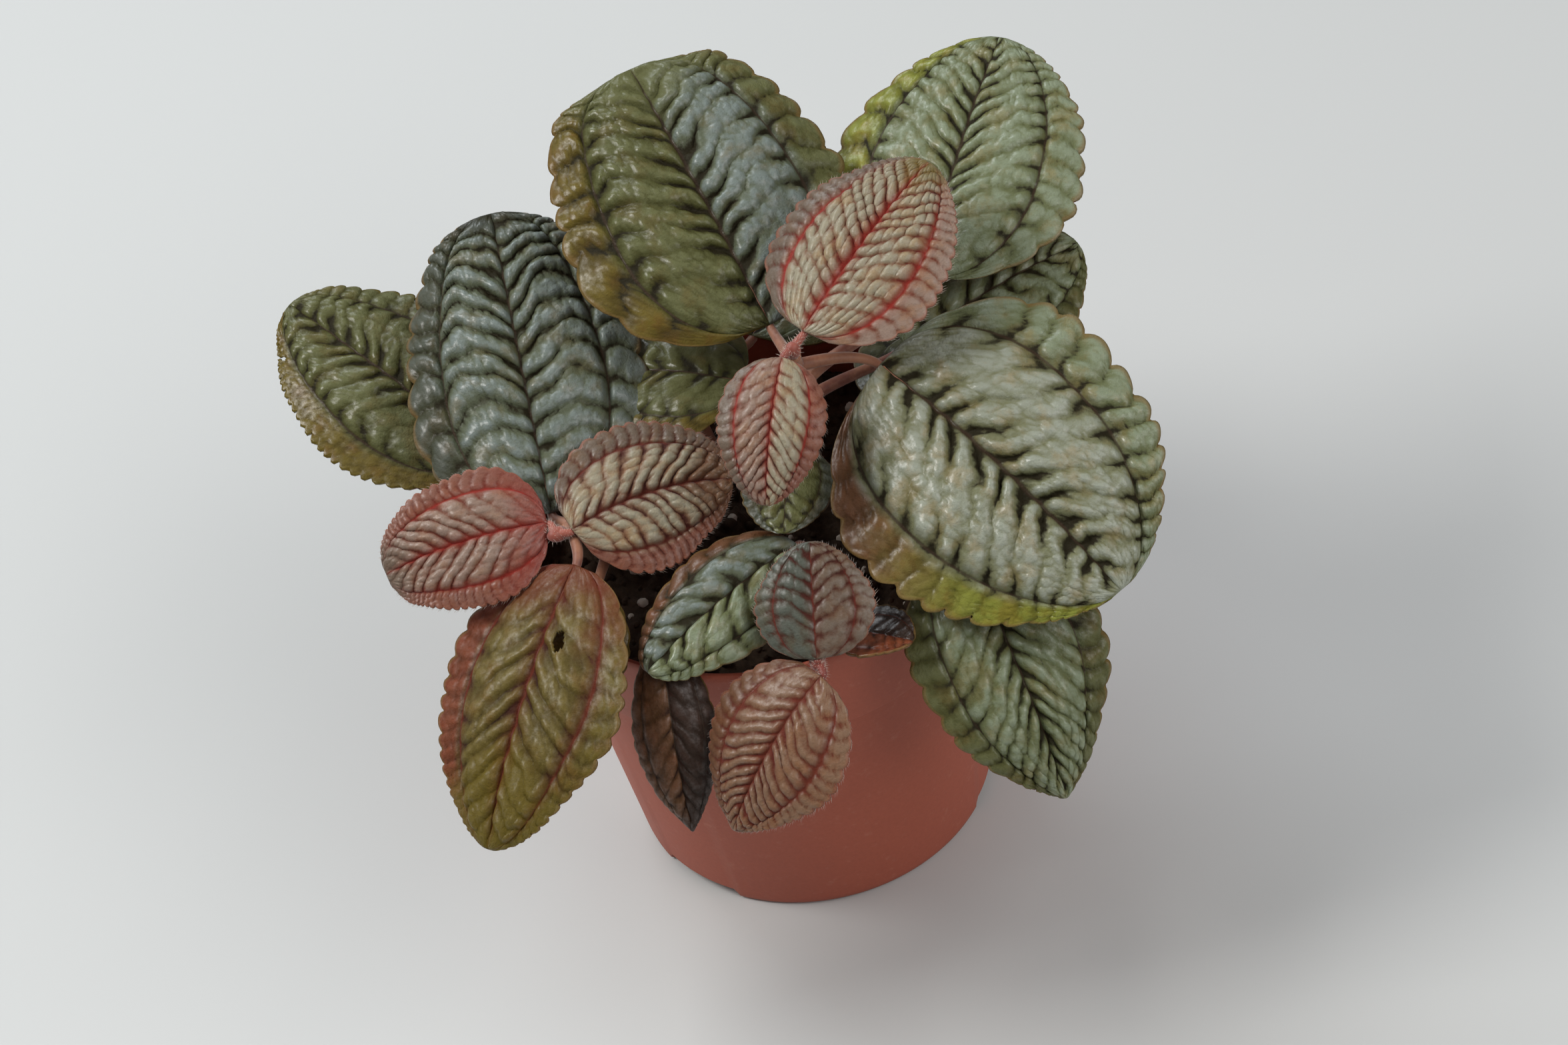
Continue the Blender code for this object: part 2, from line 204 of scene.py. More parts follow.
# A thin-walled nursery pot, moulded in one shot of terracotta-coloured plastic, with a
# collar under its rim and three drainage arches raised in the edge of its base. It is
# matt and faintly pitted, paler where it has rubbed against other pots.
POT_OUTLINE = [
    (0.0, 1.2), (24.0, 1.2), (24.5, 1.2), (28.9, 1.2), (29.6, 1.6), (30.1, 2.6), (36.1, 50.4),
    (36.5, 51.4), (37.2, 52.1), (38.95, 68.0), (39.3, 69.6), (39.5, 69.9), (39.8, 70.0), (40.1, 69.9),
    (40.3, 69.5), (40.2, 68.0), (38.4, 51.9), (38.2, 51.4), (37.6, 51.1), (37.1, 50.9), (31.2, 1.6),
    (31.0, 0.6), (30.5, 0.1), (30.0, 0.0), (25.0, 0.0), (24.9, 0.0), (0.0, 0.0),
]
ARCH_TURNS = [radians(220 + 120 * number) for number in range(3)]
ARCH_REACH, ARCH_HALF, ARCH_HEIGHT, ARCH_ROOF = 24.2, 7.2, 2.3, 3.5
WALL_REACH, FLOOR_LEVEL = 30.2, 1.0
DRAIN_REACH, DRAIN_LEVEL, DRAIN_RADIUS, DRAIN_DEPTH = 27.7, 3.0, 1.8, 4.0
POT_STEPS = 216


def turned(outline, steps):
    """A bmesh turned about the pot's axis from an outline of radii and heights."""
    bm = bmesh.new()
    line = [bm.verts.new((radius * MM, 0, height * MM)) for radius, height in outline]
    edges = [bm.edges.new(pair) for pair in zip(line, line[1:])]
    bmesh.ops.spin(bm, geom=line + edges, cent=(0, 0, 0), axis=(0, 0, 1), angle=2 * pi,
                   steps=steps, use_merge=True)
    bmesh.ops.remove_doubles(bm, verts=bm.verts, dist=0.01 * MM)
    return bm


shell = turned(POT_OUTLINE, POT_STEPS)
for vertex in shell.verts:
    radius = hypot(vertex.co.x, vertex.co.y) / MM
    for turn in ARCH_TURNS:
        along_arch = vertex.co.x * cos(turn) + vertex.co.y * sin(turn)
        across_arch = abs(vertex.co.y * cos(turn) - vertex.co.x * sin(turn)) / MM
        if radius > ARCH_REACH and along_arch > 0 and across_arch < ARCH_HALF:
            inside = radius < WALL_REACH and vertex.co.z > FLOOR_LEVEL * MM
            vertex.co.z = max(vertex.co.z, (ARCH_ROOF if inside else ARCH_HEIGHT) * MM)
bmesh.ops.recalc_face_normals(shell, faces=shell.faces)
plastic = Finish("terracotta_plastic", {"Specular IOR Level": 0.42})
where = plastic.place()
cloudy = plastic.speckle(where, 38.0, 4.0)
pitted = plastic.speckle(where, 1500.0, 3.0, 0.7)
dusty = plastic.rise(plastic.speckle(where, 420.0, 5.0, 0.7), 0.56, 0.80)
clay = plastic.mix(cloudy, srgb(158, 78, 57), srgb(172, 91, 69))
clay = plastic.mix(plastic.rise(pitted, 0.35, 0.75) * 0.22, clay, srgb(134, 66, 50))
clay = plastic.mix(dusty * 0.24, clay, srgb(206, 152, 130))
plastic_finish = plastic.wear(
    Base_Color=clay,
    Roughness=0.50 + 0.16 * cloudy,
    Normal=plastic.bumped(pitted + 0.6 * dusty, 0.30, 0.00012),
)
pot = show("nursery_pot", mesh_of(shell, "nursery_pot"), [plastic_finish])
pot.data.set_sharp_from_angle(angle=radians(38))
bores = bmesh.new()
for turn in ARCH_TURNS:
    middle = Vector((DRAIN_REACH * cos(turn), DRAIN_REACH * sin(turn), DRAIN_LEVEL)) * MM
    bmesh.ops.create_cone(bores, cap_ends=True, segments=24, depth=DRAIN_DEPTH * MM,
                          radius1=DRAIN_RADIUS * MM, radius2=DRAIN_RADIUS * MM,
                          matrix=Matrix.Translation(middle))
drains = show("drains", mesh_of(bores, "drains"), [])
cut = pot.modifiers.new("drains", "BOOLEAN")
cut.object, cut.solver = drains, "EXACT"
shown = pot.evaluated_get(bpy.context.evaluated_depsgraph_get())
pot.data = bpy.data.meshes.new_from_object(shown, depsgraph=bpy.context.evaluated_depsgraph_get())
pot.modifiers.clear()
bpy.data.objects.remove(drains)
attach(pot, "root")
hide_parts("pot")


# Dark fibrous peat with a little white perlite, filled to 8 mm under the rim. Lumps and grains lie loose
# on its top.
SOIL_TOP = 62.0
PEAT_REACH = 37.6
PEAT_RINGS, PEAT_STEPS = 64, 170
LUMPS, LUMP_REACH = 420, 36.2
GRAINS, GRAIN_REACH = 70, 35.5


def peat_height(x, y):
    """Height of the loose surface in millimetres over its mean level."""
    at = Vector((x, y, 3.0))
    return (1.5 * noise.noise(at * 0.15) + 1.3 * noise.noise(at * 0.5)
            + 0.8 * noise.noise(at * 1.15) + 0.35 * noise.noise(at * 2.6))


wall = [(0.0, 4.0), (29.4, 4.0), (34.8, 50.0), (36.4, 52.5), (PEAT_REACH, SOIL_TOP - 0.6)]
top = [(PEAT_REACH * (1 - ring / PEAT_RINGS), SOIL_TOP) for ring in range(1, PEAT_RINGS + 1)]
peat = turned(wall + top, PEAT_STEPS)
bmesh.ops.recalc_face_normals(peat, faces=peat.faces)
for vertex in peat.verts:
    if vertex.co.z > (SOIL_TOP - 0.3) * MM:
        vertex.co.z += peat_height(vertex.co.x / MM, vertex.co.y / MM) * MM


def lump(bm, place, size, seed, flat=0.75, detail=1):
    """An irregular crumb lying at a place."""
    made = bmesh.ops.create_icosphere(bm, subdivisions=detail, radius=size * MM)["verts"]
    for vertex in made:
        vertex.co *= 1 + 0.6 * noise.noise(vertex.co * 700 / size + Vector((seed, 0, 5)))
        vertex.co.z *= flat
    turn = Matrix.Rotation(seed * 2.4, 4, (sin(seed), cos(seed * 1.3), 1))
    bmesh.ops.transform(bm, verts=made, matrix=Matrix.Translation(Vector(place) * MM) @ turn)


def luck(*seeds):
    """A fixed lucky number from 0 to 1 for a place or a piece."""
    return 0.5 + 0.5 * noise.cell(Vector([seed + 0.5 for seed in seeds]))


GOLDEN = radians(137.5)
for number in range(LUMPS):
    reach = LUMP_REACH * sqrt((number + 0.5) / LUMPS)
    x, y = reach * cos(number * GOLDEN), reach * sin(number * GOLDEN)
    size = 0.55 + 1.1 * luck(number, 1, 1) ** 2
    lump(peat, (x, y, SOIL_TOP + peat_height(x, y) + 0.25 * size), size, number * 1.7)

dark = Finish("peat", {"Specular IOR Level": 0.25})
where = dark.place()
grain = dark.speckle(where, 900.0, 6.0, 0.72)
patch = dark.speckle(where, 160.0, 3.0)
earth = dark.mix(grain, srgb(24, 19, 16), srgb(92, 74, 58))
earth = dark.mix(dark.rise(patch, 0.45, 0.70) * 0.5, earth, srgb(48, 36, 27))
peat_finish = dark.wear(Base_Color=earth, Roughness=0.86 + 0.12 * patch,
                        Normal=dark.bumped(grain, 0.7, 0.0005))
peat_bed = show("peat_bed", mesh_of(peat, "peat_bed"), [peat_finish])
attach(peat_bed, "root")
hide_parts("soil")

grains = bmesh.new()
for number in range(GRAINS):
    reach = GRAIN_REACH * sqrt(luck(number, 5, 2))
    turn = 2 * pi * luck(number, 9, 4)
    x, y = reach * cos(turn), reach * sin(turn)
    size = 0.5 + 0.9 * luck(number, 3, 8)
    lump(grains, (x, y, SOIL_TOP + peat_height(x, y) + 0.35 * size), size, number * 2.3, 0.9, 2)
perlite = Finish("perlite", {"Roughness": 0.9, "Specular IOR Level": 0.3})
pores = perlite.speckle(perlite.place(), 1400.0, 4.0, 0.7)
perlite_grains = show("perlite_grains", mesh_of(grains, "perlite_grains"), [perlite.wear(
    Base_Color=perlite.mix(pores, srgb(188, 178, 160), srgb(226, 222, 212)),
    Normal=perlite.bumped(pores, 0.6, 0.0004))])
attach(perlite_grains, "root")


# The left stem leans out over the rim. It carries a long leaf that hangs in front
# and has turned brown and olive, a dark upright one behind, and one far out left.
SPROUT = SOIL_TOP + 2.5
STEM_FOOT = 55.0
STEM_RADIUS = 1.7
STEM_TAPER = 0.28
STEM_STEPS, PETIOLE_STEPS, RIB_STEPS = 24, 12, 22
KNOT_SWELL, KNOT_REACH = 0.28, 0.035
PETIOLE_RADIUS = 0.95
PETIOLE_RISE = 0.35
WIDEST = 0.82
RIB = 2.0 / 3.0
CHEVRON = 0.24
TOOTH = 0.07
BLADE = 0.5

Stem = namedtuple("Stem", "root bend tip")
# A leaf's petiole leaves its stem at foot, from 0 to 1, and its blade starts at a point.
# Heading and rise aim it, droop and swing bend it, tilt rolls it and cup hollows it. Base
# and end make its two ends blunt or fine, and notch squares its tip. Eaten is a hole: its
# middle and its half sizes as shares of the blade.
Leaf = namedtuple("Leaf", "foot at heading rise droop length width tilt cup swing base end notch eaten",
                  defaults=(0.52, 0.52, 0.0, None))
# Rows of folds run from the midrib to the main ribs, fingers from there to the edge. Fold
# and wedge say how deep the grooves are, all over and beside the ribs. Beads and net break
# the rows up; lean, hook and skew bend them. Edge is the depth of each margin's fingers,
# pitch the size of a face in millimetres and seed the leaf's own luck.
Quilt = namedtuple("Quilt", "rows fingers height fold wedge beads net lean hook skew edge pitch seed")


def smooth(x):
    x = min(max(x, 0.0), 1.0)
    return x * x * (3 - 2 * x)


def along(stem, f):
    """Point on a stem, f from 0 at the peat to 1 at its tip."""
    a, b, c = (Vector(p) for p in stem)
    return a * (1 - f) ** 2 + b * 2 * f * (1 - f) + c * f ** 2


class Blade:
    """Where the points of a leaf's blade lie. u runs from its base to its tip, t from
    -1 at its left edge to 1 at its right one."""

    STEPS = 96

    def __init__(self, leaf, quilt):
        self.leaf, self.quilt = leaf, quilt
        self.midrib = [Vector(leaf.at)]
        for step in range(self.STEPS):
            ahead = self.direction((step + 0.5) / self.STEPS)
            self.midrib.append(self.midrib[-1] + ahead * leaf.length / self.STEPS)

    def direction(self, s):
        pitch = radians(self.leaf.rise - self.leaf.droop * s)
        turn = radians(self.leaf.heading + self.leaf.swing * s)
        return Vector((cos(pitch) * cos(turn), cos(pitch) * sin(turn), sin(pitch)))

    def frame(self, s):
        """Midrib point at s, with the directions along, to the right and up there."""
        step = min(int(s * self.STEPS), self.STEPS - 1)
        centre = self.midrib[step].lerp(self.midrib[step + 1], s * self.STEPS - step)
        ahead = self.direction(s)
        turn = radians(self.leaf.heading + self.leaf.swing * s)
        right = Vector((sin(turn), -cos(turn), 0))
        up = right.cross(ahead)
        tilt = radians(self.leaf.tilt)
        return centre, ahead, right * cos(tilt) + up * sin(tilt), up * cos(tilt) - right * sin(tilt)

    def relief(self, u, t):
        """Height of the quilting and its tone, both from 0 to 1, and the roundness of a tooth at the
        edge. The tone is partly the leaf's own pigment and partly painted shade: darker down in the
        grooves and beside the ribs, lighter on the raised bumps."""
        off, side, quilt = abs(t), int(t > 0), self.quilt
        wander = noise.noise(Vector((u * 5, t * 2.2, quilt.seed)))
        at = Vector((u * self.leaf.length, t * self.leaf.width / 2, quilt.seed * 7.0))
        ripple = noise.noise(at * 0.24)
        near, next_near = noise.voronoi(at * 0.55 + Vector((ripple, -ripple, 0)) * 0.8)[0][:2]
        pimple = (0.75 * smooth((next_near - near) / 0.35) + 0.45 * noise.noise(at * 0.62)
                  + 0.22 * noise.noise(at * 1.4) - 0.45)
        if off < RIB:
            f = off / RIB
            bent = u - quilt.lean * f + quilt.hook * max(0.0, f - 0.5) ** 2
            crinkle = noise.noise(Vector((u * quilt.rows * 0.8, f * 3.2 + side, quilt.seed + 3)))
            row = (quilt.rows * bent + 0.30 * wander + 0.26 * ripple
                   + 0.28 * (1 - quilt.net) * crinkle + 0.5 * side)
            heads = quilt.wedge * exp(-(f / 0.31) ** 2)
            foot = quilt.wedge * smooth((f - 0.60) / 0.40)
            part = row - floor(row)
            crest = sin(pi * part ** quilt.skew) ** (0.58 + 0.6 * quilt.fold + 0.40 * heads + 0.30 * foot)
            depth = min(quilt.fold * (0.45 + 1.1 * u) + 0.80 * max(heads, 0.75 * foot), 1.0)
            strength = 0.78 + 0.30 * luck(floor(row), side, quilt.seed)
            bead = quilt.beads * f + luck(floor(row), side + 5, quilt.seed) + 0.7 * wander
            bead = 1 - quilt.net * (1 - sin(pi * (bead - floor(bead))) ** 0.5)
            rounded = smooth(f / 0.10) * smooth((1 - f) / 0.09)
            body = 1 - depth * (1 - crest)
            # Painted shade: the tone's dark band is wider and deeper than the groove in the relief. It
            # darkens the breaks between beads and the strips next to the midrib and the main ribs. In
            # part it is the folds' own dark pigment.
            shade = 1 - min(1.15 * depth, 1.0) * (1 - crest ** (1.1 + 0.5 * heads))
            tone = (shade * (0.66 + 0.34 * smooth(f / 0.06) * smooth((1 - f) / 0.07))
                    * (1 - 0.8 * (1 - bead)) + 0.30 * pimple)
            rise = rounded * (strength * body * bead + 0.16 * pimple)
            return (0.16 + 0.40 * quilt.net) * sin(pi * f) + 0.80 * rise, tone, crest
        g = (off - RIB) / (1 - RIB)
        row = quilt.fingers[side] * (u + 0.05 * g * g) + 0.45 * wander + 0.30 * ripple + 0.5 * side
        finger = sin(pi * (row - floor(row)) ** 0.85) ** (1.1 - 0.40 * g)
        strength = 0.66 + 0.46 * luck(floor(row), side + 1, quilt.seed)
        rounded = smooth(g / 0.20)
        edge = quilt.edge[side]
        body = 1 - (0.95 - 0.45 * g) * (0.35 + 0.65 * edge) * (1 - finger)
        # Painted shade here too: the margin's tone darkens between the fingers and next to the main rib,
        # partly over the folds' own dark pigment.
        tone = body * (0.55 + 0.45 * rounded) + 0.30 * pimple
        rise = rounded * (edge * (1 - 0.55 * g * g) * strength * body + 0.15 * pimple)
        return 0.58 * rise, tone, finger

    def point(self, u, t):
        """Point of the quilted blade, its tone, and the up of the blade's middle."""
        leaf, off = self.leaf, abs(t)
        s = min(u + CHEVRON * off * sin(pi * u), 1.0)
        centre, ahead, right, up = self.frame(s)
        crest, tone, finger = self.relief(u, t)
        side, seed = (t > 0) * 9.0, self.quilt.seed
        ragged = noise.noise(Vector((u * 4.5, side, seed + 8)))
        tooth = (1 + TOOTH * (finger - 0.7) * smooth((off - 0.72) / 0.28)
                 + 0.06 * ragged * smooth((off - 0.4) / 0.6))
        blunt = leaf.base + (leaf.end - leaf.base) * s
        half = sin(pi * s ** WIDEST) ** blunt if 0 < s < 1 else 0.0
        width = leaf.width / 2 * half * tooth
        bend = radians(leaf.cup)
        across = width * sin(bend * off) / bend
        lift = width * (1 - cos(bend * off)) / bend
        waver = leaf.length * (0.030 * off * off * noise.noise(Vector((u * 2.6, side, seed + 4)))
                               + 0.012 * noise.noise(Vector((u * 3.4, t * 2.0, seed + 6))))
        lift += (waver + self.quilt.height * leaf.length * crest) * sin(pi * u) ** 0.45
        shoulder = leaf.notch * leaf.length * off * sin(pi * smooth((u - 0.40) / 0.60))
        return centre + right * (across if t > 0 else -across) + up * lift + ahead * shoulder, tone, up


def stalk(bm, path, radii, sides=12):
    """A round stalk through points in millimetres: rings, each bridged to the next."""
    last = None
    for number, (place, radius) in enumerate(zip(path, radii)):
        ahead = path[min(number + 1, len(path) - 1)] - path[max(number - 1, 0)]
        turn = ahead.to_track_quat("Z", "Y").to_matrix().to_4x4()
        ring = bmesh.ops.create_circle(bm, segments=sides, radius=radius * MM,
                                       cap_ends=number in (0, len(path) - 1),
                                       matrix=Matrix.Translation(place * MM) @ turn)["verts"]
        rim = list({edge for vertex in ring for edge in vertex.link_edges})
        if last:
            bmesh.ops.bridge_loops(bm, edges=last + rim)
        last = rim


def petiole_path(start, blade):
    """The stalk of a leaf, from inside its stem to the underside of its blade."""
    base, ahead, _, up = blade.frame(0.0)
    far = (base - start).length
    lead = (base - start).normalized() + Vector((0, 0, PETIOLE_RISE))
    path = []
    for step in range(PETIOLE_STEPS + 1):
        f = step / PETIOLE_STEPS
        path.append(start * (2 * f ** 3 - 3 * f ** 2 + 1) + lead * far * (f ** 3 - 2 * f ** 2 + f)
                    + base * (3 * f ** 2 - 2 * f ** 3) + ahead * far * (f ** 3 - f ** 2) - up * 0.55 * f)
    return path


def rib_path(blade, share):
    """The underside of a main rib, which stands out below the blade."""
    path = []
    for step in range(RIB_STEPS + 1):
        u = 0.015 + 0.945 * step / RIB_STEPS
        place, _, up = blade.point(u, share)
        path.append(place - up * (BLADE * 0.62))
    return path


# What a pigment is multiplied by where it browns, and in the dimmer flesh on the slopes beside a crest;
# that dimming is partly the leaf's own colour and partly painted shade.
BROWNED = (1.04, 0.80, 0.56, 1.0)
GROWN_FLESH_AND_SHADE, YOUNG_FLESH_AND_SHADE = (0.54, 0.52, 0.34, 1.0), (0.66, 0.42, 0.34, 1.0)


def leaf_skin(name, crest, groove, rib, margin, rim, base=None, tip=None, worn=None,
              gloss=0.24, fuzz=0.0, spread=1.0):
    """The upper side of a blade. crest, margin and worn, which is the margin's half near
    the stalk, each give a left and a right colour. base and tip each give a colour and
    how far along the blade it ends or starts."""
    skin = Finish(name, {"Specular IOR Level": 0.18, "Coat Roughness": gloss, "Sheen Weight": fuzz,
                         "Sheen Roughness": 0.4})
    u = skin.node("SeparateXYZ", {0: skin.node("UVMap", {}, uv_map="blade")})
    t = Wire(skin, u.socket.node.outputs["Y"]) * 2 - 1
    off = abs(t)
    right = skin.rise(t, -0.02, 0.02)
    tone = skin.node("Attribute", {}, output="Fac", attribute_name="tone")
    where = skin.place()
    cloud = skin.speckle(where, 110.0, 3.0)
    fine = skin.speckle(where, 1300.0, 5.0, 0.68)
    # The ramp from fold colour through dimmer flesh to crest follows the tone, so it carries the tone's
    # painted shade: darker down in the grooves and beside the ribs.
    level = tone + 0.36 * (cloud - 0.5) + 0.40 * (fine - 0.5)
    lit = skin.rise(level, 0.14, 0.60)
    silver = skin.rise(level, 0.42, 0.94) if fuzz else skin.rise(level, 0.54, 1.12)
    fields = skin.mix(right, crest[0], crest[1])
    edges = skin.mix(right, margin[0], margin[1])
    if worn:
        older = 1 - skin.rise(u + 0.30 * cloud, 0.30, 0.75)
        edges = skin.mix(older, edges, skin.mix(right, worn[0], worn[1]))
    outer = skin.rise(off + 0.12 * cloud, RIB + 0.04, RIB + 0.16)
    tops = skin.mix(outer, fields, edges)
    brown = skin.rise(skin.speckle(where, 210.0, 5.0, 0.62), 0.46, 0.68)
    tops = skin.mix(brown * (0.72 + 0.15 * outer), tops, skin.mix(1.0, tops, BROWNED, "MULTIPLY"))
    flesh = skin.mix(1.0, tops, YOUNG_FLESH_AND_SHADE if fuzz else GROWN_FLESH_AND_SHADE, "MULTIPLY")
    colour = skin.mix(silver, skin.mix(lit, groove, flesh), tops)
    if base:
        colour = skin.mix((1 - skin.rise(u + 0.25 * cloud, 0.10, base[1])) * 0.85, colour, base[0])
    if tip:
        colour = skin.mix(skin.rise(u + 0.25 * cloud, tip[1], tip[1] + 0.22) * 0.85, colour, tip[0])
    middle = 1 - skin.rise(off, 0.004, 0.034 * spread)
    flank = 1 - skin.rise(abs(off - RIB), 0.003, 0.026 * spread)
    veins = middle + flank * (1 - 0.45 * u)
    if spread > 1:
        flush = 2 - skin.rise(off, 0.0, 0.20) - skin.rise(abs(off - RIB), 0.0, 0.15)
        colour = skin.mix(flush * (0.36 - 0.18 * u), colour, rib)
    colour = skin.mix(skin.rise(veins, 0.0, 1.1) * 0.90, colour, rib)
    colour = skin.mix(skin.rise(off, 0.955, 0.992) * 0.70, colour, rim)
    return skin.wear(
        Base_Color=colour,
        Roughness=0.46 + 0.24 * fine,
        Coat_Weight=(0.35 * lit + 0.65 * silver) * (0.28 + 0.57 * skin.rise(fine, 0.36, 0.66)),
        Normal=skin.bumped(fine + 0.5 * cloud, 0.90, 0.00042),
    )


def leaf_back(name, flesh, vein):
    """The lower side of a blade, smoother and duller, with pale veins."""
    skin = Finish(name, {"Roughness": 0.55, "Specular IOR Level": 0.4})
    where = skin.place()
    cloud = skin.speckle(where, 140.0, 3.0)
    fine = skin.speckle(where, 900.0, 3.0)
    high = skin.node("Attribute", {}, output="Fac", attribute_name="tone")
    colour = skin.mix(skin.rise(high + 0.2 * fine, 0.05, 0.35), vein, flesh)
    colour = skin.mix(cloud * 0.3, colour, vein)
    return skin.wear(Base_Color=colour, Normal=skin.bumped(fine, 0.3, 0.0002))


grown_back = leaf_back("grown_leaf_back", srgb(122, 64, 56), srgb(150, 96, 78))
young_back = leaf_back("young_leaf_back", srgb(150, 62, 54), srgb(184, 104, 88))


def stalk_skin(name, dark_side, pale_side):
    """Fleshy stalks, reddish, clouded between a darker and a paler colour, with a fine grain."""
    skin = Finish(name, {"Specular IOR Level": 0.45, "Sheen Weight": 0.25, "Sheen Roughness": 0.5})
    where = skin.place()
    cloud = skin.speckle(where, 130.0, 3.0)
    fine = skin.speckle(where, 1600.0, 3.0)
    colour = skin.mix(skin.rise(cloud + 0.25 * fine, 0.40, 0.80), dark_side, pale_side)
    return skin.wear(Base_Color=colour, Roughness=0.42 + 0.2 * fine,
                     Normal=skin.bumped(fine, 0.35, 0.0002))


grown_stalk = stalk_skin("grown_stalk", srgb(108, 58, 46), srgb(156, 106, 78))
young_stalk = stalk_skin("young_stalk", srgb(116, 48, 38), srgb(156, 86, 70))


def grow_leaf(name, leaf, quilt, skin, back, node):
    """One blade with its ribs: a grid laid on the quilted surface, then made solid."""
    blade = Blade(leaf, quilt)
    bm = bmesh.new()
    sheet = bm.loops.layers.uv.new("blade")
    tones = bm.verts.layers.float.new("tone")
    rows = round(leaf.length * 1.12 / quilt.pitch)
    columns = 2 * round(leaf.width * 0.56 / quilt.pitch)
    bmesh.ops.create_grid(bm, x_segments=rows, y_segments=columns, size=0.5)
    if leaf.eaten:
        at_u, at_t, long, wide = leaf.eaten
        middles = {face: face.calc_center_median() for face in bm.faces}
        lost = [face for face, middle in middles.items()
                if hypot((middle.x + 0.5 - at_u) / long, (2 * middle.y + at_t) / wide) < 1]
        bmesh.ops.delete(bm, geom=lost, context="FACES")
    for face in bm.faces:
        for loop in face.loops:
            loop[sheet].uv = (loop.vert.co.x + 0.5, 0.5 - loop.vert.co.y)
    for vertex in bm.verts:
        u = min(max(vertex.co.x + 0.5, 0.0), 1.0)
        place, tone, _ = blade.point(u, -2 * vertex.co.y)
        vertex.co, vertex[tones] = place * MM, tone
    bmesh.ops.remove_doubles(bm, verts=bm.verts, dist=0.01 * MM)
    made = show(name, mesh_of(bm, name), [skin, back])
    shell = made.modifiers.new("thickness", "SOLIDIFY")
    shell.thickness, shell.offset, shell.material_offset = BLADE * MM, 0.0, 1
    shown = made.evaluated_get(bpy.context.evaluated_depsgraph_get())
    solid = bpy.data.meshes.new_from_object(shown, preserve_all_data_layers=True,
                                            depsgraph=bpy.context.evaluated_depsgraph_get())
    made.modifiers.clear()
    made.data = solid
    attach(made, "root")
    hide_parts(node)
    return blade


def grow_ribs(bm, path, blade, petiole, midrib, side_rib):
    """A petiole that runs on as the midrib, and a rib on either side, each with its radii."""
    stalk(bm, path + rib_path(blade, 0.0), petiole + midrib)
    for share in (-RIB, RIB):
        stalk(bm, rib_path(blade, share), side_rib, 7)


def grow_stalks(name, stem, blades, node):
    """A stem with a knot at each leaf, its petioles, and the ribs under the blades."""
    bm = bmesh.new()
    path, radii = [Vector((stem.root[0], stem.root[1], STEM_FOOT))], [STEM_RADIUS]
    for step in range(STEM_STEPS + 1):
        f = step / STEM_STEPS
        knot = sum(exp(-((f - blade.leaf.foot) / KNOT_REACH) ** 2) for blade in blades)
        path.append(along(stem, f))
        radii.append(STEM_RADIUS * (1 - STEM_TAPER * f) * (1 + KNOT_SWELL * min(knot, 1.0)))
    stalk(bm, path, radii, 16)
    petiole = [PETIOLE_RADIUS * (1.25 - 0.45 * step / PETIOLE_STEPS) for step in range(PETIOLE_STEPS + 1)]
    midrib = [PETIOLE_RADIUS * (0.66 - 0.02 * step) for step in range(RIB_STEPS + 1)]
    side_rib = [PETIOLE_RADIUS * (0.40 - 0.013 * step) for step in range(RIB_STEPS + 1)]
    for blade in blades:
        path = petiole_path(along(stem, blade.leaf.foot), blade)
        grow_ribs(bm, path, blade, petiole, midrib, side_rib)
    bmesh.ops.recalc_face_normals(bm, faces=bm.faces)
    made = show(name, mesh_of(bm, name), [grown_stalk])
    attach(made, "root")
    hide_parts(node)


def grow_leafy_stem(side, stem, leaves):
    """A stem that stands in the peat, with its full-grown leaves."""
    node = f"{side}_leafy_stem"
    blades = [grow_leaf(f"{side}_leaf_{number + 1}", leaf, quilt, skin, grown_back, node)
              for number, (leaf, quilt, skin) in enumerate(leaves)]
    grow_stalks(f"{side}_stalks", stem, blades, node)
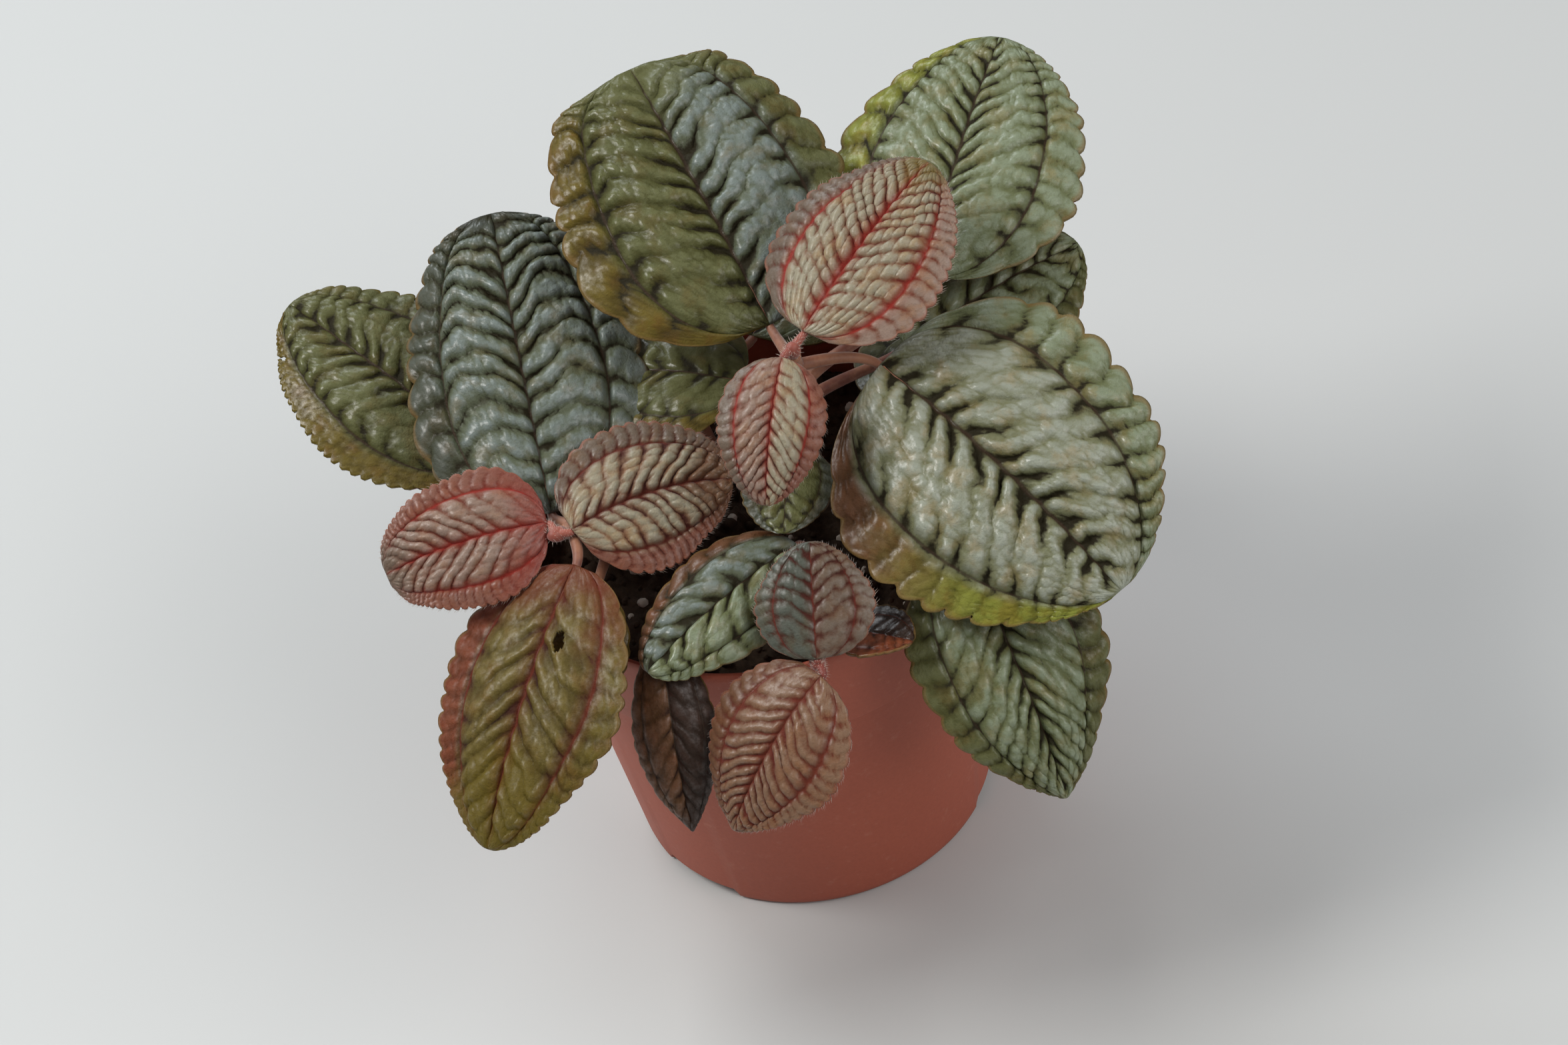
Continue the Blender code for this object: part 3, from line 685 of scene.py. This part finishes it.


# Pigments of grown leaves: those of crests and margins, then folds, ribs and rims. The fold colours are
# partly the folds' own dark pigment and partly painted shade in the grooves.
SILVER, SAGE = srgb(150, 155, 140), srgb(130, 140, 115)
SLATE, DUSK = srgb(115, 125, 120), srgb(80, 84, 74)
MOSS, OLIVE = srgb(96, 98, 60), srgb(105, 90, 35)
COPPER, UMBER = srgb(105, 70, 45), srgb(52, 32, 20)
LIME, GOLD, RUST = srgb(130, 135, 50), srgb(100, 85, 20), srgb(120, 60, 30)
GREEN_FOLD, BROWN_FOLD = srgb(35, 30, 12), srgb(42, 20, 10)
BARK, RUSSET, TAN_RIM = srgb(55, 40, 26), srgb(105, 42, 25), srgb(118, 92, 48)
LEFT_STEM = Stem((-14, -4, SPROUT), (-20, -6, 80), (-31.5, -13.5, 85.5))
grow_leafy_stem("left", LEFT_STEM, [
    (Leaf(0.93, (-31, -20, 84), 234, -15, 35, 49, 34, -5, -15, 0, 0.56, 0.56,
          eaten=(0.24, -0.22, 0.032, 0.065)),
     Quilt(11, (18, 20), 0.034, 0.34, 0.6, 3, 0.12, 0.08, 0.20, 1.40, (0.4, 0.45), 0.42, 1),
     leaf_skin("hanging_brown_leaf", (OLIVE, OLIVE), BROWN_FOLD, RUSSET, (GOLD, RUST), TAN_RIM,
               base=(RUSSET, 0.36), tip=(GOLD, 0.62), gloss=0.40, spread=1.8)),
    (Leaf(0.93, (-33, -8, 85), 89, 30, 18, 56, 41, 0, -25, 0, 0.52, 0.40, 0.02),
     Quilt(13, (14, 14), 0.048, 0.60, 0.5, 3, 0.12, 0.00, 0.36, 0.58, (1.0, 1.0), 0.44, 2),
     leaf_skin("upright_dark_leaf", (SLATE, SLATE), GREEN_FOLD, BARK, (DUSK, SLATE), TAN_RIM,
               tip=(GREEN_FOLD, 0.93), gloss=0.25)),
    (Leaf(0.55, (-42, 13, 80), 128, 22, 15, 46, 34, 10, -15, 0, 0.52, 0.50,
          eaten=(0.71, -1.0, 0.008, 0.24)),
     Quilt(12, (34, 14), 0.030, 0.24, 1.3, 3, 0.12, 0.02, 0.30, 0.66, (0.05, 0.7), 0.44, 3),
     leaf_skin("far_left_leaf", (MOSS, MOSS), GREEN_FOLD, BARK, (GOLD, MOSS), GOLD)),
    (Leaf(0.55, (-29, -20, 77), -115, -10, 45, 24, 16, 0, -15, 0),
     Quilt(9, (12, 12), 0.040, 0.45, 0.8, 3, 0.15, 0.00, 0.20, 0.70, (0.8, 0.8), 0.46, 4),
     leaf_skin("tucked_left_leaf", (OLIVE, OLIVE), BROWN_FOLD, RUSSET, (GOLD, GOLD), TAN_RIM)),
])


# The top stem is the tallest and stands in the middle. It carries the two largest
# leaves, one out to the right and one behind, both silvery with olive edges.
TOP_STEM = Stem((8, 3, SPROUT), (11, -3, 95), (11.5, -8.5, 108.5))
grow_leafy_stem("top", TOP_STEM, [
    (Leaf(0.85, (25, -8, 101), -55, -10, 25, 55, 54, -20, -15, 0, 0.42, 0.48),
     Quilt(11, (14, 13), 0.050, 0.18, 1.1, 4, 0.16, 0.07, 0.10, 1.30, (1.0, 0.45), 0.46, 5),
     leaf_skin("largest_leaf", (SILVER, SILVER), GREEN_FOLD, BARK, (SAGE, LIME), TAN_RIM,
               worn=(SAGE, COPPER), gloss=0.25)),
    (Leaf(0.85, (9, 4, 104), 105, 28, 15, 53, 50, 0, -20, 0, 0.50, 0.32, 0.05),
     Quilt(12, (10, 12), 0.048, 0.24, 1.3, 4, 0.15, 0.04, 0.20, 0.66, (1.0, 0.9), 0.46, 6),
     leaf_skin("high_back_leaf", (MOSS, SLATE), GREEN_FOLD, BARK, (GOLD, MOSS), TAN_RIM,
               tip=(MOSS, 0.82), gloss=0.25)),
    (Leaf(0.62, (35, 8, 103), 61, 20, 15, 48, 44, 0, -15, 0, 0.52, 0.50),
     Quilt(14, (9, 15), 0.040, 0.22, 1.1, 4, 0.15, 0.07, 0.20, 0.66, (0.8, 0.6), 0.46, 7),
     leaf_skin("upper_right_leaf", (SAGE, SAGE), GREEN_FOLD, BARK, (LIME, SAGE), TAN_RIM)),
    (Leaf(0.50, (30, 2, 94), 20, 12, 15, 34, 32, -10, -15, 0),
     Quilt(8, (12, 12), 0.036, 0.40, 0.9, 3, 0.15, 0.04, 0.20, 0.75, (0.8, 0.8), 0.46, 8),
     leaf_skin("under_right_leaf", (SAGE, SAGE), GREEN_FOLD, BARK, (MOSS, MOSS), TAN_RIM)),
    (Leaf(0.50, (2.5, 5.0, 91.5), 150, 5, 25, 28, 26, 10, -15, 0),
     Quilt(7, (10, 10), 0.034, 0.40, 0.8, 3, 0.15, 0.04, 0.20, 0.75, (0.8, 0.8), 0.46, 9),
     leaf_skin("inner_green_leaf", (MOSS, MOSS), GREEN_FOLD, BARK, (GOLD, MOSS), TAN_RIM)),
    (Leaf(0.45, (8, -6, 85), -105, 5, 20, 18, 16, 0, -20, 0),
     Quilt(6, (9, 9), 0.034, 0.40, 0.8, 3, 0.15, 0.04, 0.20, 0.75, (0.8, 0.8), 0.46, 10),
     leaf_skin("small_centre_leaf", (MOSS, MOSS), GREEN_FOLD, BARK, (DUSK, DUSK), TAN_RIM)),
])


# The front stem is short and creeps out over the rim. Its leaves are small: one
# curled and striped, one dark, and one folded dark leaf that hangs on the pot.
FRONT_STEM = Stem((3, -16, SPROUT), (4, -34, 74), (4, -44, 75.5))
grow_leafy_stem("front", FRONT_STEM, [
    (Leaf(0.40, (5, -23, 80), -150, 5, 25, 33, 20, 20, -30, 0, 0.52, 0.46),
     Quilt(7, (10, 10), 0.046, 0.42, 0.9, 3, 0.12, 0.04, 0.20, 1.20, (0.9, 0.9), 0.40, 11),
     leaf_skin("curled_striped_leaf", (SAGE, SLATE), GREEN_FOLD, BARK, (SAGE, COPPER), TAN_RIM)),
    (Leaf(0.70, (10, -38, 73), -40, 18, 10, 13, 12, 0, 20, 0),
     Quilt(6, (9, 9), 0.034, 0.35, 0.5, 2, 0.10, 0.04, 0.20, 0.75, (0.6, 0.6), 0.42, 12),
     leaf_skin("small_maroon_leaf", (UMBER, RUST), BROWN_FOLD, RUSSET, (UMBER, RUST), TAN_RIM)),
    (Leaf(0.40, (-20, -34, 75), -97, -22, 68, 33, 15, 0, -45, 0, 0.42, 0.90),
     Quilt(9, (14, 14), 0.024, 0.40, 0.5, 2, 0.10, 0.04, 0.20, 0.75, (0.6, 0.6), 0.42, 13),
     leaf_skin("folded_dark_leaf", (UMBER, COPPER), BROWN_FOLD, BARK, (UMBER, COPPER), TAN_RIM,
               tip=(UMBER, 0.86), gloss=0.36)),
])


# The right stem stays low under the largest leaf. One long leaf with pale stripes
# hangs down beside the pot; the others fill the shade under the big one.
RIGHT_STEM = Stem((20, -12, SPROUT), (22, -16, 76), (31, -24, 82))
shaded_skin = leaf_skin("shaded_leaf", (MOSS, MOSS), GREEN_FOLD, BARK, (MOSS, MOSS), TAN_RIM)
grow_leafy_stem("right", RIGHT_STEM, [
    (Leaf(0.95, (31, -30, 80), -76, -25, 45, 47, 33, 0, -20, 0, 0.46, 0.78),
     Quilt(12, (14, 14), 0.040, 0.32, 0.65, 4, 0.30, 0.12, 0.10, 1.30, (0.8, 0.8), 0.42, 14),
     leaf_skin("hanging_green_leaf", (SAGE, SAGE), GREEN_FOLD, BARK, (MOSS, MOSS), TAN_RIM)),
    (Leaf(0.60, (35, -12, 80), 15, 0, 30, 28, 26, 0, -15, 0),
     Quilt(8, (11, 11), 0.036, 0.40, 0.8, 3, 0.15, 0.04, 0.20, 0.75, (0.8, 0.8), 0.52, 15), shaded_skin),
    (Leaf(0.45, (27, 2, 80), 55, 0, 35, 34, 28, 0, -15, 0),
     Quilt(8, (12, 12), 0.036, 0.40, 0.8, 3, 0.15, 0.04, 0.20, 0.75, (0.8, 0.8), 0.52, 16), shaded_skin),
])


# The back stem leans away from the viewer. Its leaves are like the others of the
# plant: silvery green on dark grooves, olive at the edge.
BACK_STEM = Stem((-5, 17, SPROUT), (-8, 20, 78), (-8, 30, 85))
back_skin = leaf_skin("back_leaf", (MOSS, SAGE), GREEN_FOLD, BARK, (MOSS, MOSS), TAN_RIM)
grow_leafy_stem("back", BACK_STEM, [
    (Leaf(0.75, (-6, 37, 83), 95, 5, 40, 44, 38, 0, -15, 0),
     Quilt(10, (13, 13), 0.040, 0.40, 1.0, 4, 0.20, 0.04, 0.30, 0.75, (0.9, 0.9), 0.52, 17), back_skin),
    (Leaf(0.60, (-16, 24, 80), 150, 0, 40, 44, 36, 0, -15, 0),
     Quilt(10, (13, 13), 0.040, 0.40, 1.0, 4, 0.20, 0.04, 0.30, 0.75, (0.9, 0.9), 0.52, 18), back_skin),
    (Leaf(0.60, (6, 28, 79), 50, 5, 45, 44, 36, 0, -15, 0),
     Quilt(10, (13, 13), 0.040, 0.40, 1.0, 4, 0.20, 0.04, 0.30, 0.75, (0.9, 0.9), 0.52, 19), back_skin),
])


# Each growing tip unfolds a pair of young leaves, still red, softly haired and more
# finely quilted. Their stubs and petioles are pink and stand out with hairs.
TIP_STUB = 3.0
TIP_GAP = 0.3
STUB_RADII = [1.15, 1.3, 1.3, 1.1, 0.6]
HAIR_RADIUS = 0.035
STUB_HAIRS, PETIOLE_HAIRS, MARGIN_HAIRS = 60, 70, 3.6


def hair(bm, root, out, length):
    """One soft hair: a three-sided spike that stands out from its root."""
    turn = out.to_track_quat("Z", "Y").to_matrix().to_4x4()
    middle = (root + out.normalized() * length * 0.45) * MM
    bmesh.ops.create_cone(bm, cap_ends=False, segments=3, radius1=HAIR_RADIUS * MM, radius2=0,
                          depth=length * MM, matrix=Matrix.Translation(middle) @ turn)


def edge_hairs(bm, blade, count):
    """Hairs that fringe both margins of a blade."""
    for number in range(count):
        u = 0.04 + 0.94 * (number + 0.5) / count
        for t in (-1.0, 1.0):
            root, _, up = blade.point(u, t)
            inner, _, _ = blade.point(u, 0.9 * t)
            lift = luck(number, t, blade.quilt.seed)
            sweep = blade.frame(u)[1] * (0.5 + 0.6 * luck(number, t + 3, 1))
            out = (root - inner).normalized() + sweep + up * (lift - 0.4)
            hair(bm, root - up * 0.1, out, 0.5 + 0.5 * lift)


def path_hairs(bm, path, radius, count, length):
    """Hairs that stand out all round a stalk."""
    for number in range(count):
        f = (number + 0.5) / count * (len(path) - 1)
        step = min(int(f), len(path) - 2)
        place = path[step].lerp(path[step + 1], f - step)
        ahead = (path[step + 1] - path[step]).normalized()
        aside = ahead.orthogonal().normalized()
        aside.rotate(Matrix.Rotation(number * GOLDEN, 3, ahead))
        out = aside + ahead * (0.4 * luck(number, 7, 7))
        hair(bm, place + aside * radius * 0.9, out, length * (0.6 + 0.5 * luck(number, 2, 6)))


down = Finish("pale_hair", {"Roughness": 0.5, "Sheen Weight": 0.4})
shade = down.speckle(down.place(), 300.0, 2.0)
hair_finish = down.wear(Base_Color=down.mix(shade, srgb(196, 168, 150), srgb(226, 212, 200)))


def grow_young_tip(side, stem, leaves):
    """A stub just past a stem's tip, with its pair of leaves and their hairs. MARGIN_HAIRS
    is the number for each millimetre of a leaf."""
    node = f"{side}_young_tip"
    blades = [grow_leaf(f"{side}_young_leaf_{number + 1}", leaf, quilt, skin, young_back,
                        node)
              for number, (leaf, quilt, skin) in enumerate(leaves)]
    tip = Vector(stem.tip)
    ahead = (tip - along(stem, 0.9)).normalized()
    start = tip + ahead * TIP_GAP
    bm, fringe = bmesh.new(), bmesh.new()
    stub = [start + ahead * TIP_STUB * f for f in (0.0, 0.25, 0.5, 0.75, 1.0)]
    stalk(bm, stub, STUB_RADII, 16)
    path_hairs(fringe, stub, 1.2, STUB_HAIRS, 0.9)
    petiole = [0.85 - 0.02 * step for step in range(PETIOLE_STEPS + 1)]
    midrib = [0.5 - 0.016 * step for step in range(RIB_STEPS + 1)]
    side_rib = [0.32 - 0.010 * step for step in range(RIB_STEPS + 1)]
    for blade in blades:
        path = petiole_path(start + ahead * TIP_STUB * 0.5, blade)
        grow_ribs(bm, path, blade, petiole, midrib, side_rib)
        path_hairs(fringe, path, 0.75, PETIOLE_HAIRS, 0.8)
        edge_hairs(fringe, blade, round(MARGIN_HAIRS * blade.leaf.length))
    bmesh.ops.recalc_face_normals(bm, faces=bm.faces)
    for name, made, finish in (("tip_stalks", bm, young_stalk), ("tip_hairs", fringe, hair_finish)):
        piece = show(f"{side}_{name}", mesh_of(made, f"{side}_{name}"), [finish])
        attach(piece, "root")
        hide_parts(node)


# Pigments of young leaves, in the same order, and what makes their skin downy.
CREAM, ROSE = srgb(150, 142, 120), srgb(140, 118, 104)
MAUVE, FAWN = srgb(105, 90, 76), srgb(125, 95, 72)
BLUSH, PINK_EDGE = srgb(130, 54, 44), srgb(124, 80, 64)
WINE_FOLD, ROSE_FOLD = srgb(62, 24, 14), srgb(95, 35, 22)
RED, PINK_RIM = srgb(145, 42, 32), srgb(140, 84, 62)
DOWNY = {"gloss": 0.34, "fuzz": 0.12, "spread": 2.6}
grow_young_tip("left", LEFT_STEM, [
    (Leaf(1.0, (-34, -12, 87), 180, 8, 30, 28, 23, 30, -5, 0, 0.50, 0.38),
     Quilt(10, (22, 22), 0.054, 0.55, 0.4, 5, 0.28, 0.12, 0.05, 0.75, (0.6, 0.6), 0.32, 20),
     leaf_skin("left_pink_leaf", (ROSE, ROSE), ROSE_FOLD, RED, (PINK_EDGE, PINK_EDGE), PINK_RIM,
               base=(BLUSH, 0.42), tip=(MAUVE, 0.84), **DOWNY)),
    (Leaf(1.0, (-30, -15, 87), 25, 5, 15, 28, 26, -28, -15, -32, 0.46, 0.46),
     Quilt(11, (20, 18), 0.056, 0.60, 0.4, 5, 0.30, 0.10, 0.20, 1.30, (0.8, 0.8), 0.32, 21),
     leaf_skin("left_silver_leaf", (CREAM, CREAM), WINE_FOLD, ROSE_FOLD, (MAUVE, PINK_EDGE), PINK_RIM,
               tip=(COPPER, 0.76), **DOWNY)),
])
grow_young_tip("top", TOP_STEM, [
    (Leaf(1.0, (14, -7, 111.5), 38, 28, 20, 35, 32, -5, -20, 0),
     Quilt(14, (20, 20), 0.046, 0.50, 0.5, 6, 0.60, 0.08, 0.10, 0.70, (0.7, 0.7), 0.32, 22),
     leaf_skin("top_cream_leaf", (CREAM, CREAM), ROSE_FOLD, RED, (MAUVE, ROSE), PINK_RIM,
               tip=(OLIVE, 0.88), **DOWNY)),
    (Leaf(1.0, (9.5, -11.5, 111), -112, -5, 50, 25, 18, 10, -25, 0, 0.48, 0.52),
     Quilt(12, (16, 16), 0.046, 0.45, 0.4, 3, 0.35, 0.10, 0.10, 1.30, (0.7, 0.7), 0.32, 23),
     leaf_skin("top_folded_leaf", (CREAM, ROSE), WINE_FOLD, RED, (PINK_EDGE, MAUVE), PINK_RIM, **DOWNY)),
])
grow_young_tip("front", FRONT_STEM, [
    (Leaf(1.0, (4, -46.5, 77.5), 78, 42, 10, 19, 20, 0, -25, 0),
     Quilt(8, (13, 13), 0.036, 0.50, 0.5, 3, 0.25, 0.06, 0.20, 0.75, (0.7, 0.7), 0.34, 24),
     leaf_skin("front_back_leaf", (DUSK, MAUVE), WINE_FOLD, ROSE_FOLD, (DUSK, MAUVE), PINK_RIM,
               gloss=0.34, fuzz=0.08, spread=1.6)),
    (Leaf(1.0, (4, -49, 76), -152, -25, 35, 30, 26, 12, -15, 0, 0.48, 0.72),
     Quilt(15, (20, 20), 0.040, 0.55, 0.4, 4, 0.15, 0.07, 0.20, 1.40, (0.6, 0.6), 0.34, 25),
     leaf_skin("front_brown_leaf", (FAWN, FAWN), ROSE_FOLD, RUSSET, (FAWN, COPPER), PINK_RIM, **DOWNY)),
])
bud_skin = leaf_skin("bud_leaf", (ROSE, ROSE), ROSE_FOLD, RED, (PINK_EDGE, PINK_EDGE), PINK_RIM,
                     fuzz=0.12, spread=2.6)
grow_young_tip("back", BACK_STEM, [
    (Leaf(1.0, (-9, 30, 88), 190, 30, 20, 15, 12, 0, -10, 0),
     Quilt(7, (11, 11), 0.042, 0.45, 0.4, 3, 0.25, 0.05, 0.20, 0.75, (0.7, 0.7), 0.36, 26), bud_skin),
    (Leaf(1.0, (-7, 32, 88), 15, 30, 20, 15, 12, 0, -10, 0),
     Quilt(7, (11, 11), 0.042, 0.45, 0.4, 3, 0.25, 0.05, 0.20, 0.75, (0.7, 0.7), 0.36, 27), bud_skin),
])
